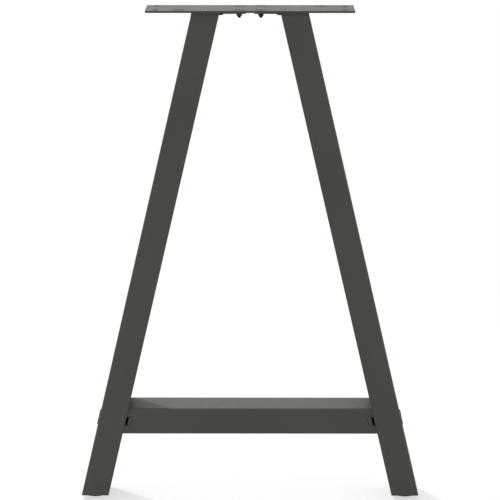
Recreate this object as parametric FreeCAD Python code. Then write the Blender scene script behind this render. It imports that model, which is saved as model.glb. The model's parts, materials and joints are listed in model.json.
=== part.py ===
import FreeCAD, Part
import math
import os

# Overall sizes in millimetres: X across the frame, Y front to back, Z up from the floor
HEIGHT = 728.0
BASE_WIDTH = 500.0
TOP_WIDTH = 168.8

# Top plate that goes against the table top
PLATE_LENGTH = 300.0
PLATE_OVERHANG = 3.0
PLATE_THICKNESS = 3.0
PLATE_CORNER_RADIUS = 2.0
FIXING_HOLE_INSET = 14.0
FIXING_HOLE_DIAMETER = 8.5
SLOT_LENGTH = 17.0
SLOT_WIDTH = 6.0
SIDE_SLOT_INSET = 48.0
ROW_INSET = 12.5

# Legs: sheet channels with the web outside and the open side facing the other leg
LEG_WIDTH = 39.0
LEG_DEPTH = 70.0
LEG_WALL = 2.0
BEND_RADIUS = 3.0

# Mounting plate on each leg, with a tongue that runs in under the top plate
MOUNT_THICKNESS = 3.5
MOUNT_OVERHANG = 6.1
MOUNT_CORNER_CUT = 4.0
TONGUE_GAP = 12.0
TONGUE_DEPTH = 38.0
TONGUE_SCREW_INSET = 9.5
LEG_SCREW_INSET = 18.4
LEG_SCREW_SIDE_INSET = 7.5

# Crossbar: a folded channel, open underneath, held between the legs
BAR_BOTTOM = 101.0
BAR_HEIGHT = 39.0
BAR_WALL = 2.0
BAR_SIDE_CLEARANCE = 0.5
BAR_END_CLEARANCE = 1.2
BAR_LIP = 20.0
BAR_BOLT_INSET = 11.5
BAR_BOLT_DROP = 2.0

# Stop beside each leg: a cut in the crossbar wall and a pressed boss next to it
STOP_CUT_WIDTH = 3.6
STOP_HEIGHT = 13.5
STOP_BOSS_WIDTH = 5.6
STOP_BOSS_RISE = 0.8
STOP_BOSS_RADIUS = 4.0

# Levelling feet
FOOT_INSET = 19.0
FOOT_PLATE_THICKNESS = 4.0
FOOT_PLATE_HOLE_CLEARANCE = 0.5
FOOT_PLATE_CORNER_CLEARANCE = 0.1
FOOT_NUT_FLATS = 13.0
FOOT_NUT_HEIGHT = 6.5
STUD_DIAMETER = 8.0
STUD_REACH = 20.5
STUD_CLEARANCE = 0.05
PAD_DIAMETER = 35.0
PAD_HEIGHT = 5.5
PAD_GAP = 1.5
PAD_EDGE_RADIUS = 1.2
PAD_SOCKET_DEPTH = 3.5

# Countersunk screws and nuts in the top plate
SCREW_DIAMETER = 5.0
SCREW_HEAD_DIAMETER = 11.0
SCREW_TIP = 2.8
SCREW_SOCKET_FLATS = 3.0
SCREW_NUT_FLATS = 8.0
SCREW_NUT_HEIGHT = 4.7

# Low head bolts, washers and nuts that hold the crossbar
BOLT_DIAMETER = 6.0
BOLT_TIP = 2.8
BOLT_HEAD_DIAMETER = 12.0
BOLT_HEAD_HEIGHT = 1.4
BOLT_SOCKET_FLATS = 4.0
BOLT_NUT_FLATS = 10.0
BOLT_NUT_HEIGHT = 5.0
WASHER_DIAMETER = 12.5
WASHER_THICKNESS = 1.2

# Shared small clearances and edge sizes
HOLE_CLEARANCE = 0.25
HEAD_SINK = 0.1
THREAD_END_CHAMFER = 0.8
SOCKET_DEPTH = 2.2
CUT_MARGIN = 1.0

# Sizes that follow from the ones above
FOOT_LIFT = PAD_HEIGHT + PAD_GAP
LEG_TOP = HEIGHT - PLATE_THICKNESS - MOUNT_THICKNESS
LEAN = math.atan((BASE_WIDTH - TOP_WIDTH) / 2 / (LEG_TOP - FOOT_LIFT))
PLATE_DEPTH = LEG_DEPTH + 2 * PLATE_OVERHANG
FIXING_HOLE_X = PLATE_LENGTH / 2 - FIXING_HOLE_INSET
SIDE_SLOT_X = PLATE_LENGTH / 2 - SIDE_SLOT_INSET
ROW_Y = PLATE_DEPTH / 2 - ROW_INSET
MOUNT_INNER_X = TOP_WIDTH / 2 - LEG_WIDTH / math.cos(LEAN) - MOUNT_OVERHANG
TONGUE_END_X = TONGUE_GAP / 2
TONGUE_SCREW_X = TONGUE_END_X + TONGUE_SCREW_INSET
LEG_SCREW_X = TOP_WIDTH / 2 - LEG_SCREW_INSET
LEG_SCREW_Y = LEG_DEPTH / 2 - LEG_WALL - LEG_SCREW_SIDE_INSET
BAR_TOP = BAR_BOTTOM + BAR_HEIGHT
BAR_HALF_DEPTH = LEG_DEPTH / 2 - LEG_WALL - BAR_SIDE_CLEARANCE
BAR_BOLT_Y = BAR_HALF_DEPTH - BAR_BOLT_INSET
BAR_BOLT_Z = BAR_BOTTOM + BAR_HEIGHT / 2 - BAR_BOLT_DROP
FOOT_X = BASE_WIDTH / 2 - FOOT_INSET
FOOT_PLATE_TOP = FOOT_LIFT + FOOT_PLATE_THICKNESS
STUD_BOTTOM = PAD_HEIGHT - PAD_SOCKET_DEPTH
STUD_TOP = FOOT_PLATE_TOP + FOOT_NUT_HEIGHT + STUD_REACH
SCREW_LENGTH = PLATE_THICKNESS + MOUNT_THICKNESS + SCREW_NUT_HEIGHT + SCREW_TIP
BOLT_LENGTH = LEG_WALL + BAR_WALL + WASHER_THICKNESS + BOLT_NUT_HEIGHT + BOLT_TIP


def vec(x, y, z):
    return FreeCAD.Vector(x, y, z)


def outer_x(z):
    """X of the right leg's outer face at height z."""
    return BASE_WIDTH / 2 - math.tan(LEAN) * (z - FOOT_LIFT)


def prism(outline, y0, y1):
    """Solid from an outline of (x, z) points, between two Y positions."""
    points = [vec(x, y0, z) for x, z in outline]
    face = Part.Face(Part.makePolygon(points + points[:1]))
    return face.extrude(vec(0, y1 - y0, 0))


def plate(outline, z0, z1):
    """Solid from an outline of (x, y) points, between two heights."""
    points = [vec(x, y, z0) for x, y in outline]
    face = Part.Face(Part.makePolygon(points + points[:1]))
    return face.extrude(vec(0, 0, z1 - z0))


def leaning_block(depth0, depth1, y0, y1, z0, z1):
    """Block between two planes parallel to the right leg, depths measured in from its outer face."""
    run0 = depth0 / math.cos(LEAN)
    run1 = depth1 / math.cos(LEAN)
    low = [(outer_x(z0) - run0, z0), (outer_x(z0) - run1, z0)]
    high = [(outer_x(z1) - run1, z1), (outer_x(z1) - run0, z1)]
    return prism(low + high, y0, y1)


def cylinder(x, y, z0, z1, diameter):
    return Part.makeCylinder(diameter / 2, z1 - z0, vec(x, y, z0))


def hexagon(flats, z0, z1):
    """Hexagonal prism on the Z axis."""
    radius = flats / math.sqrt(3)
    angles = [math.radians(60 * i) for i in range(6)]
    return plate([(radius * math.cos(a), radius * math.sin(a)) for a in angles], z0, z1)


def turned(profile):
    """Solid of revolution on the Z axis from (radius, z) points."""
    points = [vec(r, 0, z) for r, z in profile]
    face = Part.Face(Part.makePolygon(points + points[:1]))
    return face.revolve(vec(0, 0, 0), vec(0, 0, 1), 360)


def rounded(shape, radius, wanted):
    """Round the edges that keep one Y along their length and whose two ends both pass the test."""
    level = [e for e in shape.Edges if near(e.BoundBox.YLength, 0) and len(e.Vertexes) == 2]
    return shape.makeFillet(radius, [e for e in level if all(wanted(v.Point) for v in e.Vertexes)])


def near(a, b):
    return abs(a - b) < 0.01


def moved(shape, x, y, z):
    copy = shape.copy()
    copy.translate(vec(x, y, z))
    return copy


def on_leg_face(shape, y, z):
    """Put a shape made on the Z axis onto the right leg's outer face, Z pointing out of it."""
    copy = shape.copy()
    turn = FreeCAD.Rotation(vec(0, 1, 0), 90 - math.degrees(LEAN))
    copy.Placement = FreeCAD.Placement(vec(outer_x(z), y, z), turn).multiply(copy.Placement)
    return copy


def mirrored(shape):
    return shape.mirror(vec(0, 0, 0), vec(1, 0, 0))


def nut(flats, height, bore):
    """Hexagonal nut from Z = 0 up, its corners turned down at both ends."""
    corner = flats / math.sqrt(3)
    flat = flats / 2
    drop = (corner - flat) * 0.6
    envelope = turned([(bore / 2, 0), (flat, 0), (corner, drop), (corner, height - drop),
                       (flat, height), (bore / 2, height)])
    return hexagon(flats, 0, height).common(envelope)


def plate_screw():
    """Countersunk screw with its head at Z = 0 and its thread hanging down."""
    head = SCREW_HEAD_DIAMETER / 2 - HEAD_SINK
    shank = SCREW_DIAMETER / 2
    tip = shank - THREAD_END_CHAMFER
    body = turned([(0, -HEAD_SINK), (head, -HEAD_SINK), (shank, -HEAD_SINK - head + shank),
                   (shank, THREAD_END_CHAMFER - SCREW_LENGTH), (tip, -SCREW_LENGTH), (0, -SCREW_LENGTH)])
    return body.cut(hexagon(SCREW_SOCKET_FLATS, -HEAD_SINK - SOCKET_DEPTH, CUT_MARGIN))


def bar_bolt():
    """Low head bolt with the underside of its head at Z = 0 and its thread hanging down."""
    head = BOLT_HEAD_DIAMETER / 2
    shank = BOLT_DIAMETER / 2
    tip = shank - THREAD_END_CHAMFER
    edge = BOLT_HEAD_HEIGHT / 2
    body = turned([(0, BOLT_HEAD_HEIGHT), (head - edge, BOLT_HEAD_HEIGHT), (head, edge), (head, 0),
                   (shank, 0), (shank, THREAD_END_CHAMFER - BOLT_LENGTH), (tip, -BOLT_LENGTH),
                   (0, -BOLT_LENGTH)])
    socket_bottom = BOLT_HEAD_HEIGHT - SOCKET_DEPTH
    return body.cut(hexagon(BOLT_SOCKET_FLATS, socket_bottom, BOLT_HEAD_HEIGHT + CUT_MARGIN))


def slot(x, y, z0, z1):
    """Cutter for a slot along X with round ends."""
    reach = (SLOT_LENGTH - SLOT_WIDTH) / 2
    middle = plate([(x - reach, y - SLOT_WIDTH / 2), (x + reach, y - SLOT_WIDTH / 2),
                    (x + reach, y + SLOT_WIDTH / 2), (x - reach, y + SLOT_WIDTH / 2)], z0, z1)
    ends = [cylinder(x - reach, y, z0, z1, SLOT_WIDTH), cylinder(x + reach, y, z0, z1, SLOT_WIDTH)]
    return middle.fuse(ends)


def top_plate():
    half_length = PLATE_LENGTH / 2
    half_depth = PLATE_DEPTH / 2
    z0 = HEIGHT - PLATE_THICKNESS
    below = z0 - CUT_MARGIN
    above = HEIGHT + CUT_MARGIN
    body = plate([(-half_length, -half_depth), (half_length, -half_depth),
                  (half_length, half_depth), (-half_length, half_depth)], z0, HEIGHT)
    upright = [e for e in body.Edges if not near(e.Vertexes[0].Z, e.Vertexes[1].Z)]
    body = body.makeFillet(PLATE_CORNER_RADIUS, upright)
    cutters = []
    for side in (-1, 1):
        cutters.append(slot(side * SIDE_SLOT_X, side * ROW_Y, below, above))
        for row in (-ROW_Y, ROW_Y):
            cutters.append(cylinder(side * FIXING_HOLE_X, row, below, above, FIXING_HOLE_DIAMETER))
            cutters.append(slot(side * TONGUE_SCREW_X, row, below, above))
    sunk = SCREW_HEAD_DIAMETER / 2
    countersink = turned([(0, HEIGHT - sunk), (sunk, HEIGHT), (0, HEIGHT)])
    for x, y in screw_places():
        for side in (-1, 1):
            cutters.append(cylinder(side * x, y, below, above, SCREW_DIAMETER + 2 * HOLE_CLEARANCE))
            cutters.append(moved(countersink, side * x, y, 0))
    return body.cut(cutters)


def screw_places():
    """Right side screw positions in the top plate."""
    return [(LEG_SCREW_X, -LEG_SCREW_Y), (LEG_SCREW_X, LEG_SCREW_Y), (TONGUE_SCREW_X, 0)]


def mount_plate():
    """Right mounting plate: wide over the leg, narrow along the tongue."""
    outer = outer_x(LEG_TOP)
    wide = LEG_DEPTH / 2
    narrow = TONGUE_DEPTH / 2
    cut = MOUNT_CORNER_CUT
    back = [(outer, wide), (MOUNT_INNER_X + cut, wide), (MOUNT_INNER_X, wide - cut),
            (MOUNT_INNER_X, narrow), (TONGUE_END_X, narrow)]
    front = [(x, -y) for x, y in reversed(back)]
    body = plate(back + front, LEG_TOP, LEG_TOP + MOUNT_THICKNESS)
    hole = SCREW_DIAMETER + 2 * HOLE_CLEARANCE
    below = LEG_TOP - CUT_MARGIN
    above = LEG_TOP + MOUNT_THICKNESS + CUT_MARGIN
    return body.cut([cylinder(x, y, below, above, hole) for x, y in screw_places()])


def bar_bolt_holes():
    """Cutters for the crossbar bolts, square to the right leg."""
    hole = Part.makeCylinder(BOLT_DIAMETER / 2 + HOLE_CLEARANCE, 2 * BOLT_LENGTH, vec(0, 0, -BOLT_LENGTH))
    return [on_leg_face(hole, y, BAR_BOLT_Z) for y in (-BAR_BOLT_Y, BAR_BOLT_Y)]


def leg():
    """Right leg: a channel cut level at both ends."""
    half = LEG_DEPTH / 2
    inside = half - LEG_WALL
    body = leaning_block(0, LEG_WIDTH, -half, half, FOOT_LIFT, LEG_TOP)
    body = body.cut(leaning_block(LEG_WALL, LEG_WIDTH + CUT_MARGIN, -inside, inside,
                                  FOOT_LIFT - CUT_MARGIN, LEG_TOP + CUT_MARGIN))
    web_x = LEG_WALL / math.cos(LEAN)
    body = rounded(body, BEND_RADIUS, lambda p: near(p.x, outer_x(p.z)) and near(abs(p.y), half))
    body = rounded(body, BEND_RADIUS - LEG_WALL,
                   lambda p: near(p.x, outer_x(p.z) - web_x) and near(abs(p.y), inside))
    return body.cut(bar_bolt_holes())


def bar_outline(z0, z1, gap):
    """Outline of the crossbar between both legs, its ends a gap away from the webs."""
    run = (LEG_WALL + gap) / math.cos(LEAN)
    x0 = outer_x(z0) - run
    x1 = outer_x(z1) - run
    return [(-x0, z0), (x0, z0), (x1, z1), (-x1, z1)]


def stop_cut():
    """Cutter for the opening in both crossbar walls beside the right leg."""
    middle = BAR_BOTTOM + BAR_HEIGHT / 2
    block = leaning_block(LEG_WIDTH, LEG_WIDTH + STOP_CUT_WIDTH, -LEG_DEPTH, LEG_DEPTH,
                          middle - STOP_HEIGHT / 2, middle + STOP_HEIGHT / 2)
    return block


def stop_boss():
    """Bosses pressed out of both crossbar walls, next to the opening at the right leg."""
    middle = BAR_BOTTOM + BAR_HEIGHT / 2
    start = LEG_WIDTH + STOP_CUT_WIDTH
    end = start + STOP_BOSS_WIDTH
    reach = BAR_HALF_DEPTH + STOP_BOSS_RISE
    block = leaning_block(start, end, -reach, reach, middle - STOP_HEIGHT / 2, middle + STOP_HEIGHT / 2)
    far_run = end / math.cos(LEAN)
    far_edges = [e for e in block.Edges if near(e.BoundBox.YLength, 2 * reach)
                 and near(e.Vertexes[0].X, outer_x(e.Vertexes[0].Z) - far_run)]
    return block.makeFillet(STOP_BOSS_RADIUS, far_edges)


def crossbar():
    inside = BAR_HALF_DEPTH - BAR_WALL
    body = prism(bar_outline(BAR_BOTTOM, BAR_TOP, BAR_END_CLEARANCE), -BAR_HALF_DEPTH, BAR_HALF_DEPTH)
    body = rounded(body, BEND_RADIUS, lambda p: near(p.z, BAR_TOP) or near(p.z, BAR_BOTTOM))
    hollow = prism(bar_outline(BAR_BOTTOM + BAR_WALL, BAR_TOP - BAR_WALL, -CUT_MARGIN), -inside, inside)
    mouth_half = BAR_HALF_DEPTH - BAR_LIP
    mouth_outline = bar_outline(BAR_BOTTOM - CUT_MARGIN, BAR_TOP - BAR_WALL, -CUT_MARGIN)
    mouth = prism(mouth_outline, -mouth_half, mouth_half)
    body = body.cut([hollow, mouth])
    tab_half = inside - BAR_SIDE_CLEARANCE
    tab_bottom = BAR_BOTTOM + BAR_WALL + BAR_SIDE_CLEARANCE
    tab = leaning_block(LEG_WALL, LEG_WALL + BAR_WALL, -tab_half, tab_half, tab_bottom, BAR_TOP)
    fold = prism(bar_outline(BAR_TOP - BAR_WALL, BAR_TOP, 0), -tab_half, tab_half)
    boss = stop_boss().cut(prism(bar_outline(BAR_BOTTOM, BAR_TOP, 0), -inside, inside))
    body = body.cut([stop_cut(), mirrored(stop_cut())])
    body = body.fuse([tab, mirrored(tab), fold, boss, mirrored(boss)])
    holes = bar_bolt_holes()
    return body.cut(holes + [mirrored(h) for h in holes]).removeSplitter()


def foot_plate():
    """Right foot plate, welded inside the lower end of the leg."""
    half = LEG_DEPTH / 2 - LEG_WALL
    body = leaning_block(LEG_WALL, LEG_WIDTH, -half, half, FOOT_LIFT, FOOT_PLATE_TOP)
    web_x = LEG_WALL / math.cos(LEAN)
    body = rounded(body, BEND_RADIUS - LEG_WALL + FOOT_PLATE_CORNER_CLEARANCE,
                   lambda p: near(p.x, outer_x(p.z) - web_x) and near(abs(p.y), half))
    hole = STUD_DIAMETER + 2 * FOOT_PLATE_HOLE_CLEARANCE
    return body.cut(cylinder(FOOT_X, 0, 0, FOOT_PLATE_TOP + CUT_MARGIN, hole))


def foot_stud():
    """Right levelling stud, turned with a key from its upper end."""
    radius = STUD_DIAMETER / 2
    tip = radius - THREAD_END_CHAMFER
    body = turned([(0, STUD_BOTTOM), (radius, STUD_BOTTOM), (radius, STUD_TOP - THREAD_END_CHAMFER),
                   (tip, STUD_TOP), (0, STUD_TOP)])
    body = body.cut(hexagon(BOLT_SOCKET_FLATS, STUD_TOP - 2 * SOCKET_DEPTH, STUD_TOP + CUT_MARGIN))
    return moved(body, FOOT_X, 0, 0)


def foot_pad():
    """Right foot pad, moulded round the lower end of its stud."""
    body = cylinder(FOOT_X, 0, 0, PAD_HEIGHT, PAD_DIAMETER)
    rims = [e for e in body.Edges if near(e.BoundBox.ZLength, 0)]
    body = body.makeFillet(PAD_EDGE_RADIUS, rims)
    return body.cut(cylinder(FOOT_X, 0, STUD_BOTTOM, PAD_HEIGHT + CUT_MARGIN, STUD_DIAMETER))


def right_side_pieces():
    """Every piece of the right side, by name without its side."""
    foot_nut = nut(FOOT_NUT_FLATS, FOOT_NUT_HEIGHT, STUD_DIAMETER + 2 * STUD_CLEARANCE)
    pieces = {
        "leg": leg(),
        "mount_plate": mount_plate(),
        "foot_plate": foot_plate(),
        "foot_nut": moved(foot_nut, FOOT_X, 0, FOOT_PLATE_TOP),
        "foot_stud": foot_stud(),
        "foot_pad": foot_pad(),
    }
    screw_nut = nut(SCREW_NUT_FLATS, SCREW_NUT_HEIGHT, SCREW_DIAMETER)
    for place, (x, y) in zip(("front", "back", "tongue"), screw_places()):
        pieces["plate_screw_" + place] = moved(plate_screw(), x, y, HEIGHT)
        pieces["plate_nut_" + place] = moved(screw_nut, x, y, LEG_TOP - SCREW_NUT_HEIGHT)
    bolt_nut = nut(BOLT_NUT_FLATS, BOLT_NUT_HEIGHT, BOLT_DIAMETER)
    washer = cylinder(0, 0, 0, WASHER_THICKNESS, WASHER_DIAMETER)
    washer = washer.cut(cylinder(0, 0, 0, WASHER_THICKNESS, BOLT_DIAMETER + HOLE_CLEARANCE))
    washer_depth = LEG_WALL + BAR_WALL + WASHER_THICKNESS
    for place, y in (("front", -BAR_BOLT_Y), ("back", BAR_BOLT_Y)):
        pieces["bar_bolt_" + place] = on_leg_face(bar_bolt(), y, BAR_BOLT_Z)
        pieces["bar_washer_" + place] = on_leg_face(moved(washer, 0, 0, -washer_depth), y, BAR_BOLT_Z)
        nut_shift = -washer_depth - BOLT_NUT_HEIGHT
        pieces["bar_nut_" + place] = on_leg_face(moved(bolt_nut, 0, 0, nut_shift), y, BAR_BOLT_Z)
    return pieces


def main():
    shapes = {"top_plate": top_plate(), "crossbar": crossbar()}
    for name, shape in right_side_pieces().items():
        shapes["right_" + name] = shape
        shapes["left_" + name] = mirrored(shape)
    os.makedirs("parts", exist_ok=True)
    for name, shape in shapes.items():
        shape.exportStep("parts/" + name + ".step")


main()
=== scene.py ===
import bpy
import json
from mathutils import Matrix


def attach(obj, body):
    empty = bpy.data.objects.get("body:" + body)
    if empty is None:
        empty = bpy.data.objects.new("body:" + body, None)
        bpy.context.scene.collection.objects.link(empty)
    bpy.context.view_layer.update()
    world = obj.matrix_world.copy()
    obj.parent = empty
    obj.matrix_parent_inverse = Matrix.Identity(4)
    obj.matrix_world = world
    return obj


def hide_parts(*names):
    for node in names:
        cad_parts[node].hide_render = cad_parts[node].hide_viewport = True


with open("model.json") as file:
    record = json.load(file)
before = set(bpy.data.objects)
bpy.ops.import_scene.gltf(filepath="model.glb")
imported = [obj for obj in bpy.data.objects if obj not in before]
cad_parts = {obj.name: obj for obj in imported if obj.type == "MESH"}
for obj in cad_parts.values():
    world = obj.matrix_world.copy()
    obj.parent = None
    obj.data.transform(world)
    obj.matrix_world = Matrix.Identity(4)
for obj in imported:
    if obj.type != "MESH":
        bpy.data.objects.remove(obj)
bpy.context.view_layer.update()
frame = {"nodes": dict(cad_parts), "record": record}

import json
import math

import bmesh
import bpy
from mathutils import Vector

# Sizes of the trestle leg in millimetres: X across the frame, Y front to back, Z up from the floor
HEIGHT = 728.0
BASE_WIDTH = 500.0
TOP_WIDTH = 168.8
FOOT_LIFT = 7.0

# Top plate, with a fixing hole in each corner
PLATE_LENGTH = 300.0
PLATE_DEPTH = 76.0
PLATE_THICKNESS = 3.0
PLATE_CORNER = 2.0
FIXING_HOLE_X = 136.0
FIXING_HOLE_RADIUS = 4.25
SIDE_SLOT_X = 102.0
SLOT_LENGTH = 17.0
SLOT_WIDTH = 6.0

# Mounting plates and their tongues
MOUNT_THICKNESS = 3.5
MOUNT_OVERHANG = 6.1
MOUNT_CORNER_CUT = 4.0
TONGUE_DEPTH = 38.0
TONGUE_END_X = 6.0

# Legs
LEG_WIDTH = 39.0
LEG_DEPTH = 70.0
LEG_WALL = 2.0
BEND = 3.0

# Crossbar, and the stop beside each leg: a cut in the wall, and a boss with a groove round it
BAR_BOTTOM = 101.0
BAR_TOP = 140.0
BAR_HALF = 32.5
BAR_WALL = 2.0
BAR_LIP = 20.0
BAR_END_GAP = 1.2
STOP_CUT_WIDTH = 3.6
STOP_END = 9.2
STOP_HEIGHT = 13.5
STOP_CORNER = 0.5
STOP_ROUNDING = 3.6
GROOVE_WIDTH = 0.5
GROOVE_DEPTH = 1.1

# Levelling feet
FOOT_X = 231.0
FOOT_PLATE_TOP = 11.0
FOOT_NUT_FLATS = 13.0
FOOT_NUT_HEIGHT = 6.5
STUD_DIAMETER = 8.0
STUD_BOTTOM = 2.0
STUD_TOP = 38.0
STUD_SOCKET_FLATS = 4.0
PAD_HEIGHT = 5.5
PAD_RADIUS = 17.5
PAD_RIBS = 48

# Countersunk screws and nuts of the top plate
SCREW_X = 66.0
SCREW_Y = 25.5
TONGUE_SCREW_X = 15.5
SCREW_DIAMETER = 5.0
SCREW_LENGTH = 14.0
SCREW_HEAD_RADIUS = 5.5
SCREW_SOCKET_FLATS = 3.0
SCREW_NUT_FLATS = 8.0
SCREW_NUT_HEIGHT = 4.7
HEAD_SINK = 0.1

# Bolts, washers and nuts of the crossbar
BOLT_Y = 21.0
BOLT_Z = 118.5
BOLT_DIAMETER = 6.0
BOLT_LENGTH = 13.0
BOLT_HEAD_RADIUS = 6.0
BOLT_HEAD_HEIGHT = 1.4
BOLT_SOCKET_FLATS = 4.0
BOLT_NUT_FLATS = 10.0
BOLT_NUT_HEIGHT = 5.0
WASHER_THICKNESS = 1.2
WASHER_HOLE_RADIUS = 3.2
WASHER_RADIUS = 6.25

# Depth of the hexagon sockets, and the smooth length before the thread, of screws and bolts alike
SOCKET_DEPTH = 2.2
SHANK_LENGTH = 9.0

# Small radius left on sheet edges by deburring and the coating, and a sharper one on the top plate
EDGE = 0.4
PLATE_EDGE = 0.2

# Angles in degrees: on each kind of piece, an edge that turns further than this stays crisp
FIXING_CREASE = 30
SHEET_CREASE = 35
BEAD_CREASE = 50
PLATE_CREASE = 60

LEG_TOP = HEIGHT - PLATE_THICKNESS - MOUNT_THICKNESS
LEAN = math.atan((BASE_WIDTH - TOP_WIDTH) / 2 / (LEG_TOP - FOOT_LIFT))
COAT_SLOT = "anthracite_powder_coat"
FIXING_SLOT = "black_zinc_fixings"
PAD_SLOT = "black_foot_plastic"


def outer_x(z):
    """X of the right leg's outer face at height z."""
    return BASE_WIDTH / 2 - math.tan(LEAN) * (z - FOOT_LIFT)


# Materials

def new_material(name):
    material = bpy.data.materials.new(name)
    material.use_nodes = True
    tree = material.node_tree
    return material, tree, tree.nodes["Principled BSDF"]


def noise_node(tree, scale, detail, roughness=0.5):
    coordinates = tree.nodes.new("ShaderNodeTexCoord")
    noise = tree.nodes.new("ShaderNodeTexNoise")
    noise.inputs["Scale"].default_value = scale
    noise.inputs["Detail"].default_value = detail
    noise.inputs["Roughness"].default_value = roughness
    tree.links.new(coordinates.outputs["Object"], noise.inputs["Vector"])
    return noise.outputs["Fac"]


def ramp_node(tree, factor, stops):
    ramp = tree.nodes.new("ShaderNodeValToRGB")
    for element, (place, colour) in zip(ramp.color_ramp.elements, stops):
        element.position = place
        element.color = (*colour, 1)
    tree.links.new(factor, ramp.inputs["Fac"])
    return ramp.outputs["Color"]


def range_node(tree, factor, low, high):
    spread = tree.nodes.new("ShaderNodeMapRange")
    spread.inputs["From Min"].default_value = 0.3
    spread.inputs["From Max"].default_value = 0.7
    spread.inputs["To Min"].default_value = low
    spread.inputs["To Max"].default_value = high
    tree.links.new(factor, spread.inputs["Value"])
    return spread.outputs["Result"]


def bump_node(tree, height, distance, strength, normal=None):
    bump = tree.nodes.new("ShaderNodeBump")
    bump.inputs["Distance"].default_value = distance
    bump.inputs["Strength"].default_value = strength
    tree.links.new(height, bump.inputs["Height"])
    if normal is not None:
        tree.links.new(normal, bump.inputs["Normal"])
    return bump.outputs["Normal"]


def mean_node(tree, first, second):
    add = tree.nodes.new("ShaderNodeMath")
    add.operation = "ADD"
    tree.links.new(first, add.inputs[0])
    tree.links.new(second, add.inputs[1])
    half = tree.nodes.new("ShaderNodeMath")
    half.operation = "MULTIPLY"
    half.inputs[1].default_value = 0.5
    tree.links.new(add.outputs[0], half.inputs[0])
    return half.outputs[0]


def powder_coat():
    """Matt anthracite powder coat: fine grain with pores, slight orange peel and faint wide patches."""
    material, tree, shader = new_material("powder_coat")
    pores = noise_node(tree, 1500, 3, 0.65)
    patches = mean_node(tree, noise_node(tree, 9, 4), pores)
    colours = [(0.36, (0.0545, 0.0577, 0.0462)), (0.64, (0.0672, 0.0706, 0.058))]
    tree.links.new(ramp_node(tree, patches, colours), shader.inputs["Base Color"])
    tree.links.new(range_node(tree, noise_node(tree, 140, 3), 0.49, 0.56), shader.inputs["Roughness"])
    peel = bump_node(tree, noise_node(tree, 420, 2), 0.00016, 0.5)
    grain = bump_node(tree, pores, 0.00009, 0.8, peel)
    tree.links.new(grain, shader.inputs["Normal"])
    shader.inputs["Specular IOR Level"].default_value = 0.3
    return material


def mottled(name, patches, colours, gloss, roughness, grain, bump, metallic=0, specular=0.5):
    """Finish whose colour, roughness and bump each follow a noise of their own."""
    material, tree, shader = new_material(name)
    colour = ramp_node(tree, noise_node(tree, *patches), zip((0.3, 0.7), colours))
    tree.links.new(colour, shader.inputs["Base Color"])
    tree.links.new(range_node(tree, noise_node(tree, *gloss), *roughness), shader.inputs["Roughness"])
    tree.links.new(bump_node(tree, noise_node(tree, *grain), *bump), shader.inputs["Normal"])
    shader.inputs["Metallic"].default_value = metallic
    shader.inputs["Specular IOR Level"].default_value = specular
    return material


def painted_hole_shade():
    """Painted shade: near-black colour on the walls of small openings and grooves, standing in for the
    shade that falls inside them.
    """
    return mottled(
        "painted_shade_in_holes", patches=(200, 3), colours=((0.0026, 0.0027, 0.0023), (0.005, 0.0052, 0.0045)),
        gloss=(700, 3), roughness=(0.75, 0.9), grain=(1900, 3), bump=(0.00005, 0.5), specular=0.15)


def black_zinc():
    """Black zinc of the bolts, washers and nuts, with lighter patches."""
    return mottled(
        "black_zinc", patches=(300, 4), colours=((0.055, 0.055, 0.053), (0.10, 0.098, 0.092)),
        gloss=(900, 3), roughness=(0.3, 0.45), grain=(2500, 2), bump=(0.00003, 0.4), metallic=0.75)


def screw_zinc():
    """Smooth zinc of the countersunk heads, with a fine grain and darker patches."""
    return mottled(
        "smooth_zinc", patches=(420, 4), colours=((0.08, 0.08, 0.076), (0.11, 0.11, 0.106)),
        gloss=(1100, 3), roughness=(0.27, 0.35), grain=(2800, 2), bump=(0.00002, 0.2), metallic=0.85)


def thread_black():
    """Oiled black thread."""
    return mottled(
        "black_thread", patches=(500, 3), colours=((0.006, 0.006, 0.006), (0.014, 0.0138, 0.013)),
        gloss=(900, 3), roughness=(0.4, 0.55), grain=(2500, 2), bump=(0.00003, 0.4), specular=0.35)


def foot_plastic():
    """Black plastic of the pads, moulded with a fine matt grain."""
    return mottled(
        "foot_plastic", patches=(120, 4), colours=((0.012, 0.012, 0.0125), (0.018, 0.018, 0.018)),
        gloss=(600, 3), roughness=(0.45, 0.6), grain=(1600, 3), bump=(0.00006, 0.5))


COAT = powder_coat()
# Painted shade for the walls of holes, slots and grooves
PAINTED_HOLE_SHADE = painted_hole_shade()
ZINC = black_zinc()
SCREW_FACE = screw_zinc()
THREAD = thread_black()
PLASTIC = foot_plastic()
FINISH = {COAT_SLOT: COAT, FIXING_SLOT: ZINC, PAD_SLOT: PLASTIC}
for node in frame["record"]["subparts"]:
    mesh = frame["nodes"][node["node"]].data
    mesh.materials.clear()
    mesh.materials.append(FINISH[node["material_slot"]])


# Building pieces

def make_piece(name, body, slot, meshes, nodes=(), crease=SHEET_CREASE):
    """One object from parts of (points in millimetres, faces)."""
    points = []
    faces = []
    for part_points, part_faces in meshes:
        start = len(points)
        points += [(x / 1000, y / 1000, z / 1000) for x, y, z in part_points]
        faces += [[start + i for i in face] for face in part_faces]
    mesh = bpy.data.meshes.new(name)
    mesh.from_pydata(points, [], faces)
    finish_mesh(mesh, slot, crease)
    piece = bpy.data.objects.new(name, mesh)
    bpy.context.scene.collection.objects.link(piece)
    even_flats(piece)
    place_piece(piece, body, nodes)
    return piece


def finish_mesh(mesh, slot, crease=SHEET_CREASE):
    """Weld the points, turn the faces outwards, and shade them smooth up to an angle."""
    work = bmesh.new()
    work.from_mesh(mesh)
    bmesh.ops.remove_doubles(work, verts=work.verts, dist=1e-6)
    bmesh.ops.recalc_face_normals(work, faces=work.faces)
    work.to_mesh(mesh)
    work.free()
    mesh.materials.clear()
    mesh.materials.append(FINISH[slot])
    mesh.polygons.foreach_set("use_smooth", [True] * len(mesh.polygons))
    mesh.set_sharp_from_angle(angle=math.radians(crease))


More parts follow.
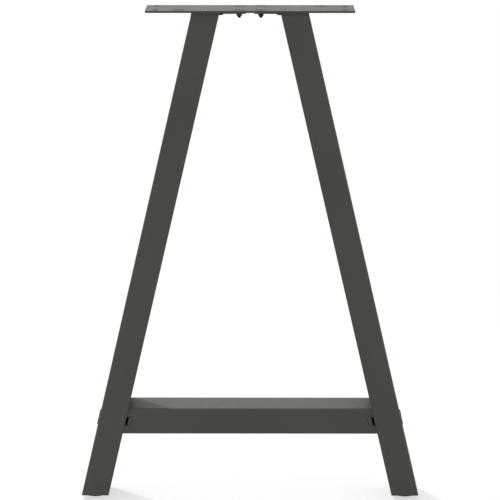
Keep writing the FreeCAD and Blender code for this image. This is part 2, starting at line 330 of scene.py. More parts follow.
def even_flats(piece):
    """Large flat faces keep their own normal, so that only the rounded edges beside them shade round."""
    weighted = piece.modifiers.new("weighted_normals", "WEIGHTED_NORMAL")
    weighted.keep_sharp = True


def refinish(piece, material, chosen):
    """Give another material to the faces that pass a test of their normal and middle (in millimetres)."""
    piece.data.materials.append(material)
    last = len(piece.data.materials) - 1
    for face in piece.data.polygons:
        if chosen(face.normal, face.center * 1000):
            face.material_index = last


def place_piece(piece, body, nodes):
    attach(piece, body)
    if nodes:
        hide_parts(*nodes)


def mirrored(meshes):
    return [([(-x, y, z) for x, y, z in points], [face[::-1] for face in faces])
            for points, faces in meshes]


def both_sides(name, body, slot, meshes, node=None, crease=SHEET_CREASE):
    """The right piece as built, and its mirror image on the left."""
    pieces = []
    for side, shapes in (("right", meshes), ("left", mirrored(meshes))):
        own_body = side + "_foot" if body == "foot" else body
        nodes = (side + "_" + node,) if node else ()
        full_name = "scene_" + side + "_" + name
        pieces.append(make_piece(full_name, own_body, slot, shapes, nodes, crease))
    return pieces


def rounded_outline(corners, steps=6):
    """Closed outline from (x, y, radius) corners, each rounded by an arc."""
    outline = []
    for i, (x, y, radius) in enumerate(corners):
        corner = Vector((x, y))
        before = (Vector(corners[i - 1][:2]) - corner).normalized()
        after = (Vector(corners[(i + 1) % len(corners)][:2]) - corner).normalized()
        half = before.angle(after) / 2
        centre = corner + (before + after).normalized() * (radius / math.sin(half))
        reach = radius / math.tan(half)
        first = corner + before * reach - centre
        last = corner + after * reach - centre
        sweep = first.angle_signed(last)
        start = math.atan2(first.y, first.x)
        for k in range(steps + 1):
            angle = start - sweep * k / steps
            outline.append((centre.x + radius * math.cos(angle), centre.y + radius * math.sin(angle)))
    return outline


def offset_outline(outline, distance):
    """The outline moved inwards by a distance, measured square to its sides."""
    count = len(outline)
    area = sum(outline[i - 1][0] * outline[i][1] - outline[i][0] * outline[i - 1][1] for i in range(count))
    sign = 1 if area > 0 else -1
    moved = []
    for i in range(count):
        here = Vector(outline[i])
        into = (here - Vector(outline[i - 1])).normalized()
        away = (Vector(outline[(i + 1) % count]) - here).normalized()
        normal_a = Vector((-into.y, into.x)) * sign
        normal_b = Vector((-away.y, away.x)) * sign
        normal = (normal_a + normal_b).normalized()
        stretch = max(normal.dot(normal_a), 0.5)
        moved.append(tuple(here + normal * (distance / stretch)))
    return moved


def loft(rings, fold=None):
    """Skin between rings of equal length, with flat faces over both ends.

    A folded sheet's section gives the first point after its free edge as fold: there the ends are
    closed by a strip from the sheet's one side to the other, so that its inside stays open.
    """
    size = len(rings[0])
    points = [point for ring in rings for point in ring]
    faces = []
    for r in range(len(rings) - 1):
        for i in range(size):
            j = (i + 1) % size
            faces.append([r * size + i, r * size + j, (r + 1) * size + j, (r + 1) * size + i])
    for start in (0, (len(rings) - 1) * size):
        if fold is None:
            faces.append([start + i for i in range(size)])
            continue
        for k in range(size // 2 - 1):
            strip = (fold - 1 - k, fold - 2 - k, fold + k + 1, fold + k)
            faces.append([start + i % size for i in strip])
    return points, faces


def end_rounding(edge, steps=3):
    """Pairs of (inset, distance from the end) for a rounded end."""
    quarter = [math.pi / 2 * k / steps for k in range(steps + 1)]
    return [(edge * (1 - math.sin(a)), edge * (1 - math.cos(a))) for a in quarter]


def curve_plate(outlines, z0, z1, edge):
    """Flat plate from closed outlines, holes among them, with rounded edges on both faces."""
    curve = bpy.data.curves.new("plate", "CURVE")
    curve.dimensions = "2D"
    curve.fill_mode = "BOTH"
    curve.extrude = (z1 - z0) / 2 - edge
    curve.bevel_depth = edge
    curve.bevel_resolution = 2
    curve.offset = -edge
    for outline in outlines:
        spline = curve.splines.new("POLY")
        spline.points.add(len(outline) - 1)
        for point, (x, y) in zip(spline.points, outline):
            point.co = (x, y, 0, 1)
        spline.use_cyclic_u = True
    holder = bpy.data.objects.new("plate", curve)
    bpy.context.scene.collection.objects.link(holder)
    bpy.context.view_layer.update()
    mesh = bpy.data.meshes.new_from_object(holder.evaluated_get(bpy.context.evaluated_depsgraph_get()))
    middle = (z0 + z1) / 2
    points = [(v.co.x, v.co.y, v.co.z + middle) for v in mesh.vertices]
    faces = [list(p.vertices) for p in mesh.polygons]
    bpy.data.objects.remove(holder)
    bpy.data.curves.remove(curve)
    bpy.data.meshes.remove(mesh)
    return points, faces


def circle(x, y, radius, steps=48):
    return [(x + radius * math.cos(2 * math.pi * k / steps), y + radius * math.sin(2 * math.pi * k / steps))
            for k in range(steps)]


def slot_outline(x, y, length, width):
    reach = length / 2
    half = width / 2
    corners = [(x - reach, y - half), (x + reach, y - half), (x + reach, y + half), (x - reach, y + half)]
    return rounded_outline([(cx, cy, half * 0.999) for cx, cy in corners], steps=8)


def hex_radius(flats, angle):
    """Distance from the centre of a hexagon to its side, at an angle."""
    turn = math.radians(60)
    return flats / 2 / math.cos((angle + turn / 2) % turn - turn / 2)


def lathe(rings, steps=96, close=False):
    """Skin round the Z axis. Each ring gives (radius, z) at an angle; a radius of 0 is a point."""
    points = []
    rows = []
    for ring in rings:
        values = [ring(2 * math.pi * k / steps) if callable(ring) else ring for k in range(steps)]
        if max(radius for radius, z in values) == 0:
            rows.append([len(points)] * steps)
            points.append((0, 0, values[0][1]))
            continue
        rows.append(list(range(len(points), len(points) + steps)))
        for k, (radius, z) in enumerate(values):
            angle = 2 * math.pi * k / steps
            points.append((radius * math.cos(angle), radius * math.sin(angle), z))
    faces = []
    pairs = list(zip(rows, rows[1:]))
    if close:
        pairs.append((rows[-1], rows[0]))
    for low, high in pairs:
        for k in range(steps):
            j = (k + 1) % steps
            corners = []
            for i in (low[k], low[j], high[j], high[k]):
                if i not in corners:
                    corners.append(i)
            if len(corners) > 2:
                faces.append(corners)
    return points, faces


def arc_rings(radius, z, size, start, end, steps):
    """Plain rings along an arc of a given size, round a point at (radius, z)."""
    angles = [math.radians(start + (end - start) * k / steps) for k in range(steps + 1)]
    return [(radius + size * math.cos(a), z + size * math.sin(a)) for a in angles]


def nut(flats, height, bore):
    """Hexagonal nut from Z = 0 up, with turned corners and a countersunk bore."""
    flat = flats / 2 * 0.96
    slope = math.tan(math.radians(30))

    def side(level, direction):
        def ring(angle):
            reach = hex_radius(flats, angle)
            return reach, level + direction * (reach - flat) * slope
        return ring

    low = [(bore / 2, 0.5), (bore / 2 + 0.5, 0), (flat * 0.98, 0), (flat, 0.02)]
    high = [(radius, height - z) for radius, z in reversed(low)]
    return lathe(low + [side(0.04, 1), side(height - 0.04, -1)] + high, close=True)


def thread(diameter, z0, z1, pitch, end_chamfer=0, steps=48):
    """Rod with a real helical thread; its z1 end is chamfered and closed, its z0 end is closed flat."""
    outer = diameter / 2 - 0.02
    depth = pitch * 0.55
    direction = 1 if z1 > z0 else -1
    length = abs(z1 - z0)
    rows = max(8, int(length / pitch * 10))

    def ring_at(along):
        limit = outer - max(0, end_chamfer - (length - along))

        def ring(angle):
            z = z0 + direction * along
            phase = (z / pitch - angle / (2 * math.pi)) % 1
            ridge = min(1, max(0, 2.4 * abs(phase - 0.5) - 0.1))
            return min(outer - depth * ridge, limit), z
        return ring

    rings = [(0, z0)] + [ring_at(length * k / rows) for k in range(rows + 1)] + [(0, z1)]
    return lathe(rings, steps=steps)


def hex_socket(flats, top, depth, rim):
    """Rings from a socket's floor up to its rim, where the head's face starts."""
    def wall(z, grow):
        return lambda angle: (hex_radius(flats, angle) + grow, z)
    bottom = top - depth
    return [(0, bottom - flats * 0.2), wall(bottom, 0), wall(top - 0.25, 0), wall(top - 0.06, 0.08),
            wall(top, 0.25), (rim, top)]


def moved(meshes, dx, dy, dz):
    return [([(x + dx, y + dy, z + dz) for x, y, z in points], faces) for points, faces in meshes]


def on_leg_face(meshes, y0, z0):
    """Turn shapes made on the Z axis to stand on the right leg's outer face."""
    cos = math.cos(LEAN)
    sin = math.sin(LEAN)
    turned = []
    for points, faces in meshes:
        turned.append(([(outer_x(z0) - x * sin + z * cos, y0 + y, z0 + x * cos + z * sin)
                        for x, y, z in points], faces))
    return turned


def weld_bead(path, radius, pitch=1.5, steps=10):
    """Rippled bead along a level path of points; its ends taper."""
    samples = []
    for start, end in zip(path, path[1:]):
        a = Vector(start)
        b = Vector(end)
        count = max(2, int((b - a).length / (pitch / 5)))
        samples += [a.lerp(b, k / count) for k in range(count)]
    samples.append(Vector(path[-1]))
    rings = []
    travelled = 0.0
    total = sum((b - a).length for a, b in zip(samples, samples[1:]))
    for i, here in enumerate(samples):
        before = samples[max(i - 1, 0)]
        after = samples[min(i + 1, len(samples) - 1)]
        if i:
            travelled += (here - before).length
        along = (after - before).normalized()
        side = along.cross(Vector((0, 0, 1))).normalized()
        up = side.cross(along)
        taper = min(1, math.sqrt(max(0.05, min(travelled, total - travelled) / radius)))
        ripple = 1 - 0.16 * (travelled / pitch % 1) ** 2
        wander = 1 + 0.06 * math.sin(travelled * 0.9) + 0.04 * math.sin(travelled * 2.3 + 1)
        size = radius * taper * ripple * wander
        ring = []
        for k in range(steps):
            angle = 2 * math.pi * k / steps
            point = here + side * (size * math.cos(angle)) + up * (size * math.sin(angle))
            ring.append(tuple(point))
        rings.append(ring)
    return loft(rings)


# Legs

def leg_profile():
    """Section of the leg across its length: depth in from the outer face, and Y."""
    half = LEG_DEPTH / 2
    inside = half - LEG_WALL
    front = [(0, -half, BEND), (LEG_WIDTH, -half, EDGE), (LEG_WIDTH, -inside, EDGE),
             (LEG_WALL, -inside, BEND - LEG_WALL)]
    back = [(depth, -y, radius) for depth, y, radius in reversed(front)]
    return rounded_outline(front + back)


def leg_ring(z, inset):
    profile = offset_outline(leg_profile(), inset) if inset else leg_profile()
    return [(outer_x(z) - depth / math.cos(LEAN), y, z) for depth, y in profile]


def leg():
    rounding = end_rounding(EDGE * 0.9)
    rings = [leg_ring(FOOT_LIFT + along, inset) for inset, along in rounding]
    rings += [leg_ring(LEG_TOP - along, inset) for inset, along in reversed(rounding)]
    return [loft(rings, len(rings[0]) // 4)]


both_sides("leg", "frame", COAT_SLOT, leg(), "leg")


# Top plate and mounting plates

def top_plate():
    """Plate with fixing holes at its ends, slots, and holes that the screw heads fill."""
    half_x = PLATE_LENGTH / 2
    half_y = PLATE_DEPTH / 2
    corners = [(-half_x, -half_y), (half_x, -half_y), (half_x, half_y), (-half_x, half_y)]
    outlines = [rounded_outline([(x, y, PLATE_CORNER) for x, y in corners])]
    screw_hole = SCREW_HEAD_RADIUS - 0.02
    for side in (-1, 1):
        outlines.append(slot_outline(side * SIDE_SLOT_X, side * SCREW_Y, SLOT_LENGTH, SLOT_WIDTH))
        outlines.append(circle(side * TONGUE_SCREW_X, 0, screw_hole))
        for row in (-SCREW_Y, SCREW_Y):
            outlines.append(circle(side * FIXING_HOLE_X, row, FIXING_HOLE_RADIUS))
            outlines.append(slot_outline(side * TONGUE_SCREW_X, row, SLOT_LENGTH, SLOT_WIDTH))
            outlines.append(circle(side * SCREW_X, row, screw_hole))
    return [curve_plate(outlines, HEIGHT - PLATE_THICKNESS, HEIGHT, PLATE_EDGE)]


def in_plate_hole(normal, middle):
    """True for the walls of the holes and slots, and not for the plate's own edge."""
    margin = 3.0
    inside = abs(middle.x) < PLATE_LENGTH / 2 - margin and abs(middle.y) < PLATE_DEPTH / 2 - margin
    return inside and abs(normal.z) < 0.99


plate_piece = make_piece("scene_top_plate", "frame", COAT_SLOT, top_plate(), ("top_plate",), PLATE_CREASE)
# Painted shade: the walls of the plate's holes and slots are coloured near black
refinish(plate_piece, PAINTED_HOLE_SHADE, in_plate_hole)


def mount_plate():
    """Plate on the leg's end, with a narrower tongue that runs in under the top plate."""
    half = LEG_DEPTH / 2
    tongue = TONGUE_DEPTH / 2
    outer = outer_x(LEG_TOP)
    inner = TOP_WIDTH / 2 - LEG_WIDTH / math.cos(LEAN) - MOUNT_OVERHANG
    back = [(outer, half, 0.8), (inner + MOUNT_CORNER_CUT, half, 0.6),
            (inner, half - MOUNT_CORNER_CUT, 0.6), (inner, tongue, 0.8), (TONGUE_END_X, tongue, 1)]
    front = [(x, -y, radius) for x, y, radius in reversed(back)]
    return [curve_plate([rounded_outline(back + front)], LEG_TOP, LEG_TOP + MOUNT_THICKNESS, EDGE)]


both_sides("mount_plate", "frame", COAT_SLOT, mount_plate(), "mount_plate", PLATE_CREASE)


# Crossbar

def bar_end(z, gap):
    return outer_x(z) - (LEG_WALL + gap) / math.cos(LEAN)


def bar_profile():
    """Section of the crossbar: Y and Z of a channel with lips, open underneath."""
    inside = BAR_HALF - BAR_WALL
    lip = BAR_HALF - BAR_LIP
    inner_bend = BEND - BAR_WALL
    right = [(BAR_HALF, BAR_TOP, BEND), (BAR_HALF, BAR_BOTTOM, BEND), (lip, BAR_BOTTOM, EDGE),
             (lip, BAR_BOTTOM + BAR_WALL, EDGE), (inside, BAR_BOTTOM + BAR_WALL, inner_bend),
             (inside, BAR_TOP - BAR_WALL, inner_bend)]
    left = [(-y, z, radius) for y, z, radius in reversed(right)]
    return rounded_outline(right + left)


def stop_outline(start, end, height, radii):
    """Slanted outline beside the right leg, as (x, z), with its own radius on the near and far corners."""
    middle = (BAR_BOTTOM + BAR_TOP) / 2
    low = middle - height / 2
    high = middle + height / 2
    run = [d / math.cos(LEAN) for d in (LEG_WIDTH + start, LEG_WIDTH + end)]
    corners = [(outer_x(low) - run[0], low, radii[0]), (outer_x(high) - run[0], high, radii[0]),
               (outer_x(high) - run[1], high, radii[1]), (outer_x(low) - run[1], low, radii[1])]
    return rounded_outline(corners, steps=8)


def crossbar_mesh():
    profile = bar_profile()
    rings = []
    for side in (-1, 1):
        for inset, along in end_rounding(EDGE * 0.9)[::-side]:
            ring = offset_outline(profile, inset) if inset else profile
            rings.append([(side * (bar_end(z, BAR_END_GAP) - along), y, z) for y, z in ring])
    return loft(rings, len(profile) // 4)


def cut_through(piece, cutters):
    """Cut solids out of a piece, and remove them."""
    piece.modifiers.clear()
    for tool in cutters:
        cut = piece.modifiers.new("cut", "BOOLEAN")
        cut.object = tool
        cut.solver = "EXACT"
    bpy.context.view_layer.update()
    evaluated = piece.evaluated_get(bpy.context.evaluated_depsgraph_get())
    mesh = bpy.data.meshes.new_from_object(evaluated)
    piece.modifiers.clear()
    old = piece.data
    piece.data = mesh
    bpy.data.meshes.remove(old)
    for tool in cutters:
        bpy.data.objects.remove(tool)


def cutter(points, faces):
    """Closed solid to cut with, from points in millimetres."""
    mesh = bpy.data.meshes.new("cutter")
    mesh.from_pydata([(x / 1000, y / 1000, z / 1000) for x, y, z in points], [], faces)
    work = bmesh.new()
    work.from_mesh(mesh)
    bmesh.ops.recalc_face_normals(work, faces=work.faces)
    work.to_mesh(mesh)
    work.free()
    tool = bpy.data.objects.new("cutter", mesh)
    bpy.context.scene.collection.objects.link(tool)
    return tool


def stop_cutters():
    """Cutters for the openings through both walls, and for the grooves round the bosses."""
    opening = stop_outline(0.1, STOP_CUT_WIDTH, STOP_HEIGHT, (STOP_CORNER, STOP_CORNER))
    groove = stop_outline(STOP_CUT_WIDTH - 0.3, STOP_END + GROOVE_WIDTH, STOP_HEIGHT + 2 * GROOVE_WIDTH,
                          (0.3, STOP_ROUNDING + GROOVE_WIDTH))
    deep = BAR_HALF - GROOVE_DEPTH
    clear = 40.0
    cutters = []
    for side in (-1, 1):
        for outline, y0, y1 in ((opening, -clear, clear), (groove, -clear, -deep), (groove, deep, clear)):
            rings = [[(side * x, y, z) for x, z in outline] for y in (y0, y1)]
            cutters.append(cutter(*loft(rings)))
    return cutters


def stop_bosses():
    """Half-sheared bosses on both walls, next to each leg: a rounded edge and a slightly hollow face."""
    steps = ((0, -GROOVE_DEPTH - 0.1), (0, 0.25), (0.12, 0.5), (0.4, 0.72), (0.8, 0.8), (2.0, 0.74))
    shapes = []
    for side in (-1, 1):
        for face in (-1, 1):
            rings = []
            for inset, rise in steps:
                radii = (max(STOP_CORNER - inset, 0.05), STOP_ROUNDING - inset)
                height = STOP_HEIGHT - 2 * inset
                ring = stop_outline(STOP_CUT_WIDTH + inset, STOP_END - inset, height, radii)
                rings.append([(side * x, face * (BAR_HALF + rise), z) for x, z in ring])
            shapes.append(loft(rings))
    return shapes


def in_stop(normal, middle):
    """True for the walls of the openings and of the grooves round the bosses."""
    run = (outer_x(middle.z) - abs(middle.x)) * math.cos(LEAN) - LEG_WIDTH
    height = abs(middle.z - (BAR_BOTTOM + BAR_TOP) / 2)
    beside_leg = -0.5 < run < STOP_END + 0.7 and height < STOP_HEIGHT / 2 + 0.75
    return beside_leg and abs(normal.y) < 0.7 and abs(middle.y) > BAR_HALF - BAR_WALL - 0.2


def bar_tabs():
    """Folded tabs at both ends of the crossbar, which the bolts go through."""
    half = BAR_HALF - BAR_WALL - 0.5
    low = BAR_BOTTOM + 2.5
    high = BAR_TOP - 0.3
    outline = rounded_outline([(-half, low, 2), (half, low, 2), (half, high, 0.3), (-half, high, 0.3)])
    shapes = []
    for side in (-1, 1):
        rings = []
        for depth, inset in ((0, EDGE), (EDGE, 0), (BAR_WALL - EDGE, 0), (BAR_WALL, EDGE)):
            ring = offset_outline(outline, inset) if inset else outline
            rings.append([(side * bar_end(z, depth), y, z) for y, z in ring])
        shapes.append(loft(rings))
    return shapes


bar = make_piece("scene_crossbar", "frame", COAT_SLOT, [crossbar_mesh()], ("crossbar",))
cut_through(bar, stop_cutters())
finish_mesh(bar.data, COAT_SLOT)
even_flats(bar)
# Painted shade: the walls of the stop openings and of the grooves round the bosses are coloured near black
refinish(bar, PAINTED_HOLE_SHADE, in_stop)
make_piece("scene_crossbar_bosses", "frame", COAT_SLOT, stop_bosses())
make_piece("scene_crossbar_tabs", "frame", COAT_SLOT, bar_tabs())


# Screws and nuts in the top plate

def plate_screw():
    """Countersunk screw, its face just under the plate's face."""
    head = SCREW_HEAD_RADIUS - HEAD_SINK
    shank = SCREW_DIAMETER / 2
    rings = hex_socket(SCREW_SOCKET_FLATS, -HEAD_SINK, SOCKET_DEPTH, head - 0.15)
    rings += [(head, -0.22), (shank, -HEAD_SINK - head + shank), (shank - 0.05, -SHANK_LENGTH),
              (0, -SHANK_LENGTH)]
    return [lathe(rings), thread(SCREW_DIAMETER, -SHANK_LENGTH, -SCREW_LENGTH, pitch=0.8, end_chamfer=0.9)]


def on_screw_face(normal, middle):
    return normal.z > 0.3 and middle.z > HEIGHT - 0.6


def on_screw_thread(normal, middle):
    return middle.z < HEIGHT - SHANK_LENGTH - 0.2


screw_places = (("front", SCREW_X, -SCREW_Y), ("back", SCREW_X, SCREW_Y), ("tongue", TONGUE_SCREW_X, 0))
for place, x, y in screw_places:
    name = "plate_screw_" + place
    shapes = moved(plate_screw(), x, y, HEIGHT)
    for piece in both_sides(name, "frame", FIXING_SLOT, shapes, name, FIXING_CREASE):
        refinish(piece, SCREW_FACE, on_screw_face)
        refinish(piece, THREAD, on_screw_thread)
    name = "plate_nut_" + place
    plate_nut = nut(SCREW_NUT_FLATS, SCREW_NUT_HEIGHT, SCREW_DIAMETER)
    shapes = moved([plate_nut], x, y, LEG_TOP - SCREW_NUT_HEIGHT)
    both_sides(name, "frame", FIXING_SLOT, shapes, name, FIXING_CREASE)


# Bolts, washers and nuts of the crossbar

def bar_bolt():
    """Bolt with a low head, its edge rounded down to a thin rim."""
    shank = BOLT_DIAMETER / 2
    rim = 0.3
    rounding = BOLT_HEAD_HEIGHT - rim
    rings = hex_socket(BOLT_SOCKET_FLATS, BOLT_HEAD_HEIGHT, SOCKET_DEPTH, 4.2)
    rings += arc_rings(BOLT_HEAD_RADIUS - rounding, rim, rounding, start=80, end=5, steps=6)
    rings += [(BOLT_HEAD_RADIUS, rim), (BOLT_HEAD_RADIUS - 0.05, 0), (shank, 0),
              (shank - 0.1, -SHANK_LENGTH), (0, -SHANK_LENGTH)]
    return [lathe(rings), thread(BOLT_DIAMETER, -SHANK_LENGTH, -BOLT_LENGTH, pitch=1, end_chamfer=1)]


def washer():
    """Flat washer with a small chamfer on each of its edges."""
    chamfer = 0.15
    low = [(WASHER_HOLE_RADIUS, chamfer), (WASHER_HOLE_RADIUS + chamfer, 0), (WASHER_RADIUS - chamfer, 0),
           (WASHER_RADIUS, chamfer)]
    high = [(radius, WASHER_THICKNESS - z) for radius, z in reversed(low)]
    return [lathe(low + high, close=True)]


washer_depth = LEG_WALL + BAR_WALL + WASHER_THICKNESS
bar_nut = [nut(BOLT_NUT_FLATS, BOLT_NUT_HEIGHT, BOLT_DIAMETER)]
bolt_stack = (("bar_bolt_", bar_bolt(), 0), ("bar_washer_", washer(), washer_depth),
              ("bar_nut_", bar_nut, washer_depth + BOLT_NUT_HEIGHT))
for place, y in (("front", -BOLT_Y), ("back", BOLT_Y)):
    for kind, shapes, depth in bolt_stack:
        placed = on_leg_face(moved(shapes, 0, 0, -depth), y, BOLT_Z)
        both_sides(kind + place, "frame", FIXING_SLOT, placed, kind + place, FIXING_CREASE)


# Levelling feet

def foot_plate():
    """Plate across the leg's lower end, leaning with the leg, with a hole for the stud."""
    half = LEG_DEPTH / 2 - LEG_WALL
    web = outer_x(FOOT_LIFT) - LEG_WALL / math.cos(LEAN)
    open_side = outer_x(FOOT_LIFT) - LEG_WIDTH / math.cos(LEAN)
    outline = rounded_outline([(open_side, -half, 0.5), (web, -half, 1.1), (web, half, 1.1),
                               (open_side, half, 0.5)])
    hole = circle(FOOT_X, 0, STUD_DIAMETER / 2 + 0.5)
    points, faces = curve_plate([outline, hole], FOOT_LIFT, FOOT_PLATE_TOP, EDGE)
    return [([(x - math.tan(LEAN) * (z - FOOT_LIFT), y, z) for x, y, z in points], faces)]


def foot_stud():
    """Stud that is threaded up to its smooth socket end."""
    socket_depth = 4.4
    shoulder = STUD_TOP - socket_depth
    smooth = STUD_DIAMETER / 2 - 0.1
    end = hex_socket(STUD_SOCKET_FLATS, STUD_TOP, socket_depth, 3.2)
    end += [(smooth, STUD_TOP - 0.75), (smooth, shoulder), (0, shoulder)]
    body = thread(STUD_DIAMETER, STUD_BOTTOM, shoulder, pitch=1.25)
    return moved([body, lathe(end)], FOOT_X, 0, 0)


def foot_pad():
    """Moulded pad: crowned top with a small boss round the stud, ribbed grip, ringed underside."""
    rib_depth = 0.22

    def grip(z):
        return lambda angle: (PAD_RADIUS - rib_depth * (0.5 + 0.5 * math.cos(angle * PAD_RIBS)), z)

    crown = [(0, STUD_BOTTOM), (4.02, STUD_BOTTOM), (4.02, PAD_HEIGHT - 0.2), (4.3, PAD_HEIGHT),
             (6.4, PAD_HEIGHT), (7.0, PAD_HEIGHT - 0.25), (7.6, PAD_HEIGHT - 0.55),
             (15.4, PAD_HEIGHT - 0.7), (16.3, PAD_HEIGHT - 0.95), (17.0, PAD_HEIGHT - 1.5)]
    wall = [grip(PAD_HEIGHT - 2.2), grip(1.3), (17.1, 0.6), (16.6, 0.15), (16.0, 0)]
    underside = [(13.2, 0), (12.9, 0.3), (12.3, 0.3), (12.0, 0), (6.2, 0), (5.9, 0.3), (5.3, 0.3), (5.0, 0),
                 (0, 0)]
    return moved([lathe(crown + wall + underside, steps=6 * PAD_RIBS)], FOOT_X, 0, 0)


foot_nut = moved([nut(FOOT_NUT_FLATS, FOOT_NUT_HEIGHT, STUD_DIAMETER + 0.1)], FOOT_X, 0, FOOT_PLATE_TOP)
both_sides("foot_plate", "frame", COAT_SLOT, foot_plate(), "foot_plate", PLATE_CREASE)
both_sides("foot_nut", "frame", COAT_SLOT, foot_nut, "foot_nut", FIXING_CREASE)
both_sides("foot_stud", "foot", FIXING_SLOT, foot_stud(), "foot_stud", FIXING_CREASE)
both_sides("foot_pad", "foot", PAD_SLOT, foot_pad(), "foot_pad", FIXING_CREASE)


# Weld beads under the coating

def inside_path(z, clear):
    """U-shaped path inside the channel, from one flange's free end round the web to the other."""
    half = LEG_DEPTH / 2 - LEG_WALL - clear
    cos = math.cos(LEAN)
    web = outer_x(z) - (LEG_WALL + clear) / cos
    free = outer_x(z) - (LEG_WIDTH - 2.5) / cos
    turn = 2.0
    return [(free, -half, z), (web - turn, -half, z), (web - turn * 0.3, -half + turn * 0.3, z),
            (web, -half + turn, z), (web, half - turn, z), (web - turn * 0.3, half - turn * 0.3, z),
            (web - turn, half, z), (free, half, z)]


def nut_tacks():
    """Three short beads round the foot nut."""
    reach = 6.9
    half_length = 2.6
    shapes = []
    for turn in (90, 210, 330):
        cos = math.cos(math.radians(turn))
        sin = math.sin(math.radians(turn))
        path = [(FOOT_X + reach * cos - sin * along, reach * sin + cos * along, FOOT_PLATE_TOP + 0.3)
                for along in (-half_length, half_length)]
        shapes.append(weld_bead(path, 1.3))
    return shapes


top_bead = weld_bead(inside_path(LEG_TOP - 0.7, 0.5), 1.5)
foot_bead = weld_bead(inside_path(FOOT_PLATE_TOP + 0.5, 0.5), 1.4)
both_sides("top_weld", "frame", COAT_SLOT, [top_bead], crease=BEAD_CREASE)
both_sides("foot_weld", "frame", COAT_SLOT, [foot_bead], crease=BEAD_CREASE)
both_sides("nut_tacks", "frame", COAT_SLOT, nut_tacks(), crease=BEAD_CREASE)


# Camera at the photograph's angle, in metres and radians

CAMERA_PLACE = (0.01295, -3.6410, 1.1379)
CAMERA_TILT = 0.2073
CAMERA_TURN = 0.0036
CAMERA_LENS = 182.51

camera_data = bpy.data.cameras.new("camera")
camera_data.sensor_width = 36
camera_data.lens = CAMERA_LENS
camera_data.clip_end = 100
camera = bpy.data.objects.new("camera", camera_data)
camera.location = CAMERA_PLACE
camera.rotation_euler = (math.pi / 2 - CAMERA_TILT, 0, CAMERA_TURN)
bpy.context.scene.collection.objects.link(camera)
bpy.context.scene.camera = camera


# Light: an even pale room, and one lamp above and behind on the left, over a pale floor

AMBIENT = 0.9
KEY_POWER = 110
KEY_SIZE = 0.5
KEY_PLACE = Vector((-1.6, 2.2, 3.2))
KEY_TARGET = Vector((0, 0, 0.35))
FLOOR_COLOUR = 0.85
FLOOR_BOUNCE = 0.5
FLOOR_DROP = 0.0002
FLOOR_RADII = (30, 6, 1.2, 0)
SHADOW_GLOW = 0.62
SHADOW_NEAR = 0.3
SHADOW_FAR = 1.6


def seen_white(tree, output, unseen, seen):
    """Show one shader to the camera, in reflections and through glass, and another to all other light."""
    path = tree.nodes.new("ShaderNodeLightPath")
    looks = path.outputs["Is Camera Ray"]
    for ray in ("Is Glossy Ray", "Is Transmission Ray"):
        either = tree.nodes.new("ShaderNodeMath")
        either.operation = "MAXIMUM"
        tree.links.new(looks, either.inputs[0])
        tree.links.new(path.outputs[ray], either.inputs[1])
        looks = either.outputs[0]
    mix = tree.nodes.new("ShaderNodeMixShader")
    tree.links.new(looks, mix.inputs[0])
    tree.links.new(unseen, mix.inputs[1])
    tree.links.new(seen, mix.inputs[2])
    tree.links.new(mix.outputs[0], output)


def pale_room():
    """Even light from all round, which shows as plain white behind the object."""
    world = bpy.data.worlds.new("room")
    world.use_nodes = True
    tree = world.node_tree
    ambient = tree.nodes["Background"]
    ambient.inputs["Color"].default_value = (1, 1, 1, 1)
    ambient.inputs["Strength"].default_value = AMBIENT
    white = tree.nodes.new("ShaderNodeBackground")
    white.inputs["Color"].default_value = (1, 1, 1, 1)
    white.inputs["Strength"].default_value = 1.0
    seen_white(tree, tree.nodes["World Output"].inputs["Surface"], ambient.outputs[0], white.outputs[0])
    return world


def shadow_fade(tree):
    """Share of plain glow in the floor: from SHADOW_GLOW near the object up to 1 further out."""
    place = tree.nodes.new("ShaderNodeTexCoord")
    distance = tree.nodes.new("ShaderNodeVectorMath")
    distance.operation = "LENGTH"
    tree.links.new(place.outputs["Object"], distance.inputs[0])
    fade = tree.nodes.new("ShaderNodeMapRange")
    fade.interpolation_type = "SMOOTHSTEP"
    fade.inputs["From Min"].default_value = SHADOW_NEAR
    fade.inputs["From Max"].default_value = SHADOW_FAR
    fade.inputs["To Min"].default_value = SHADOW_GLOW
    fade.inputs["To Max"].default_value = 1.0
    tree.links.new(distance.outputs["Value"], fade.inputs["Value"])
    return fade.outputs["Result"]


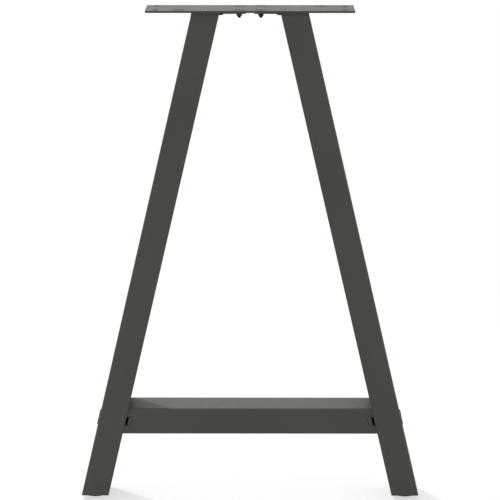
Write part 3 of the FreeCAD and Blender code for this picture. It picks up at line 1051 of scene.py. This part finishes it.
def floor_white():
    """Floor that looks white with a faint shadow, throws soft light back up, and is clear from below."""
    material, tree, lit = new_material("floor_white")
    lit.inputs["Base Color"].default_value = (FLOOR_COLOUR, FLOOR_COLOUR, FLOOR_COLOUR, 1)
    lit.inputs["Roughness"].default_value = 0.9
    lit.inputs["Specular IOR Level"].default_value = 0
    glow = tree.nodes.new("ShaderNodeEmission")
    glow.inputs["Strength"].default_value = 1.0
    faint = tree.nodes.new("ShaderNodeMixShader")
    tree.links.new(shadow_fade(tree), faint.inputs[0])
    tree.links.new(lit.outputs[0], faint.inputs[1])
    tree.links.new(glow.outputs[0], faint.inputs[2])
    bounce = tree.nodes.new("ShaderNodeBsdfDiffuse")
    bounce.inputs["Color"].default_value = (FLOOR_BOUNCE, FLOOR_BOUNCE, FLOOR_BOUNCE, 1)
    above = tree.nodes.new("ShaderNodeMixShader")
    seen_white(tree, above.inputs[1], bounce.outputs[0], faint.outputs[0])
    clear = tree.nodes.new("ShaderNodeBsdfTransparent")
    sides = tree.nodes.new("ShaderNodeNewGeometry")
    tree.links.new(sides.outputs["Backfacing"], above.inputs[0])
    tree.links.new(clear.outputs[0], above.inputs[2])
    tree.links.new(above.outputs[0], tree.nodes["Material Output"].inputs["Surface"])
    return material


bpy.context.scene.world = pale_room()

lamp_data = bpy.data.lights.new("key", "AREA")
lamp_data.shape = "DISK"
lamp_data.size = KEY_SIZE
lamp_data.energy = KEY_POWER
lamp = bpy.data.objects.new("key", lamp_data)
lamp.location = KEY_PLACE
lamp.rotation_euler = (KEY_TARGET - KEY_PLACE).to_track_quat("-Z", "Y").to_euler()
bpy.context.scene.collection.objects.link(lamp)

floor_mesh = bpy.data.meshes.new("floor")
floor_points, floor_faces = lathe([(radius, 0) for radius in FLOOR_RADII], steps=64)
floor_mesh.from_pydata(floor_points, [], floor_faces)
floor_mesh.materials.append(floor_white())
floor = bpy.data.objects.new("floor", floor_mesh)
floor.location.z = -FLOOR_DROP
bpy.context.scene.collection.objects.link(floor)

bpy.context.scene.view_settings.view_transform = "Standard"
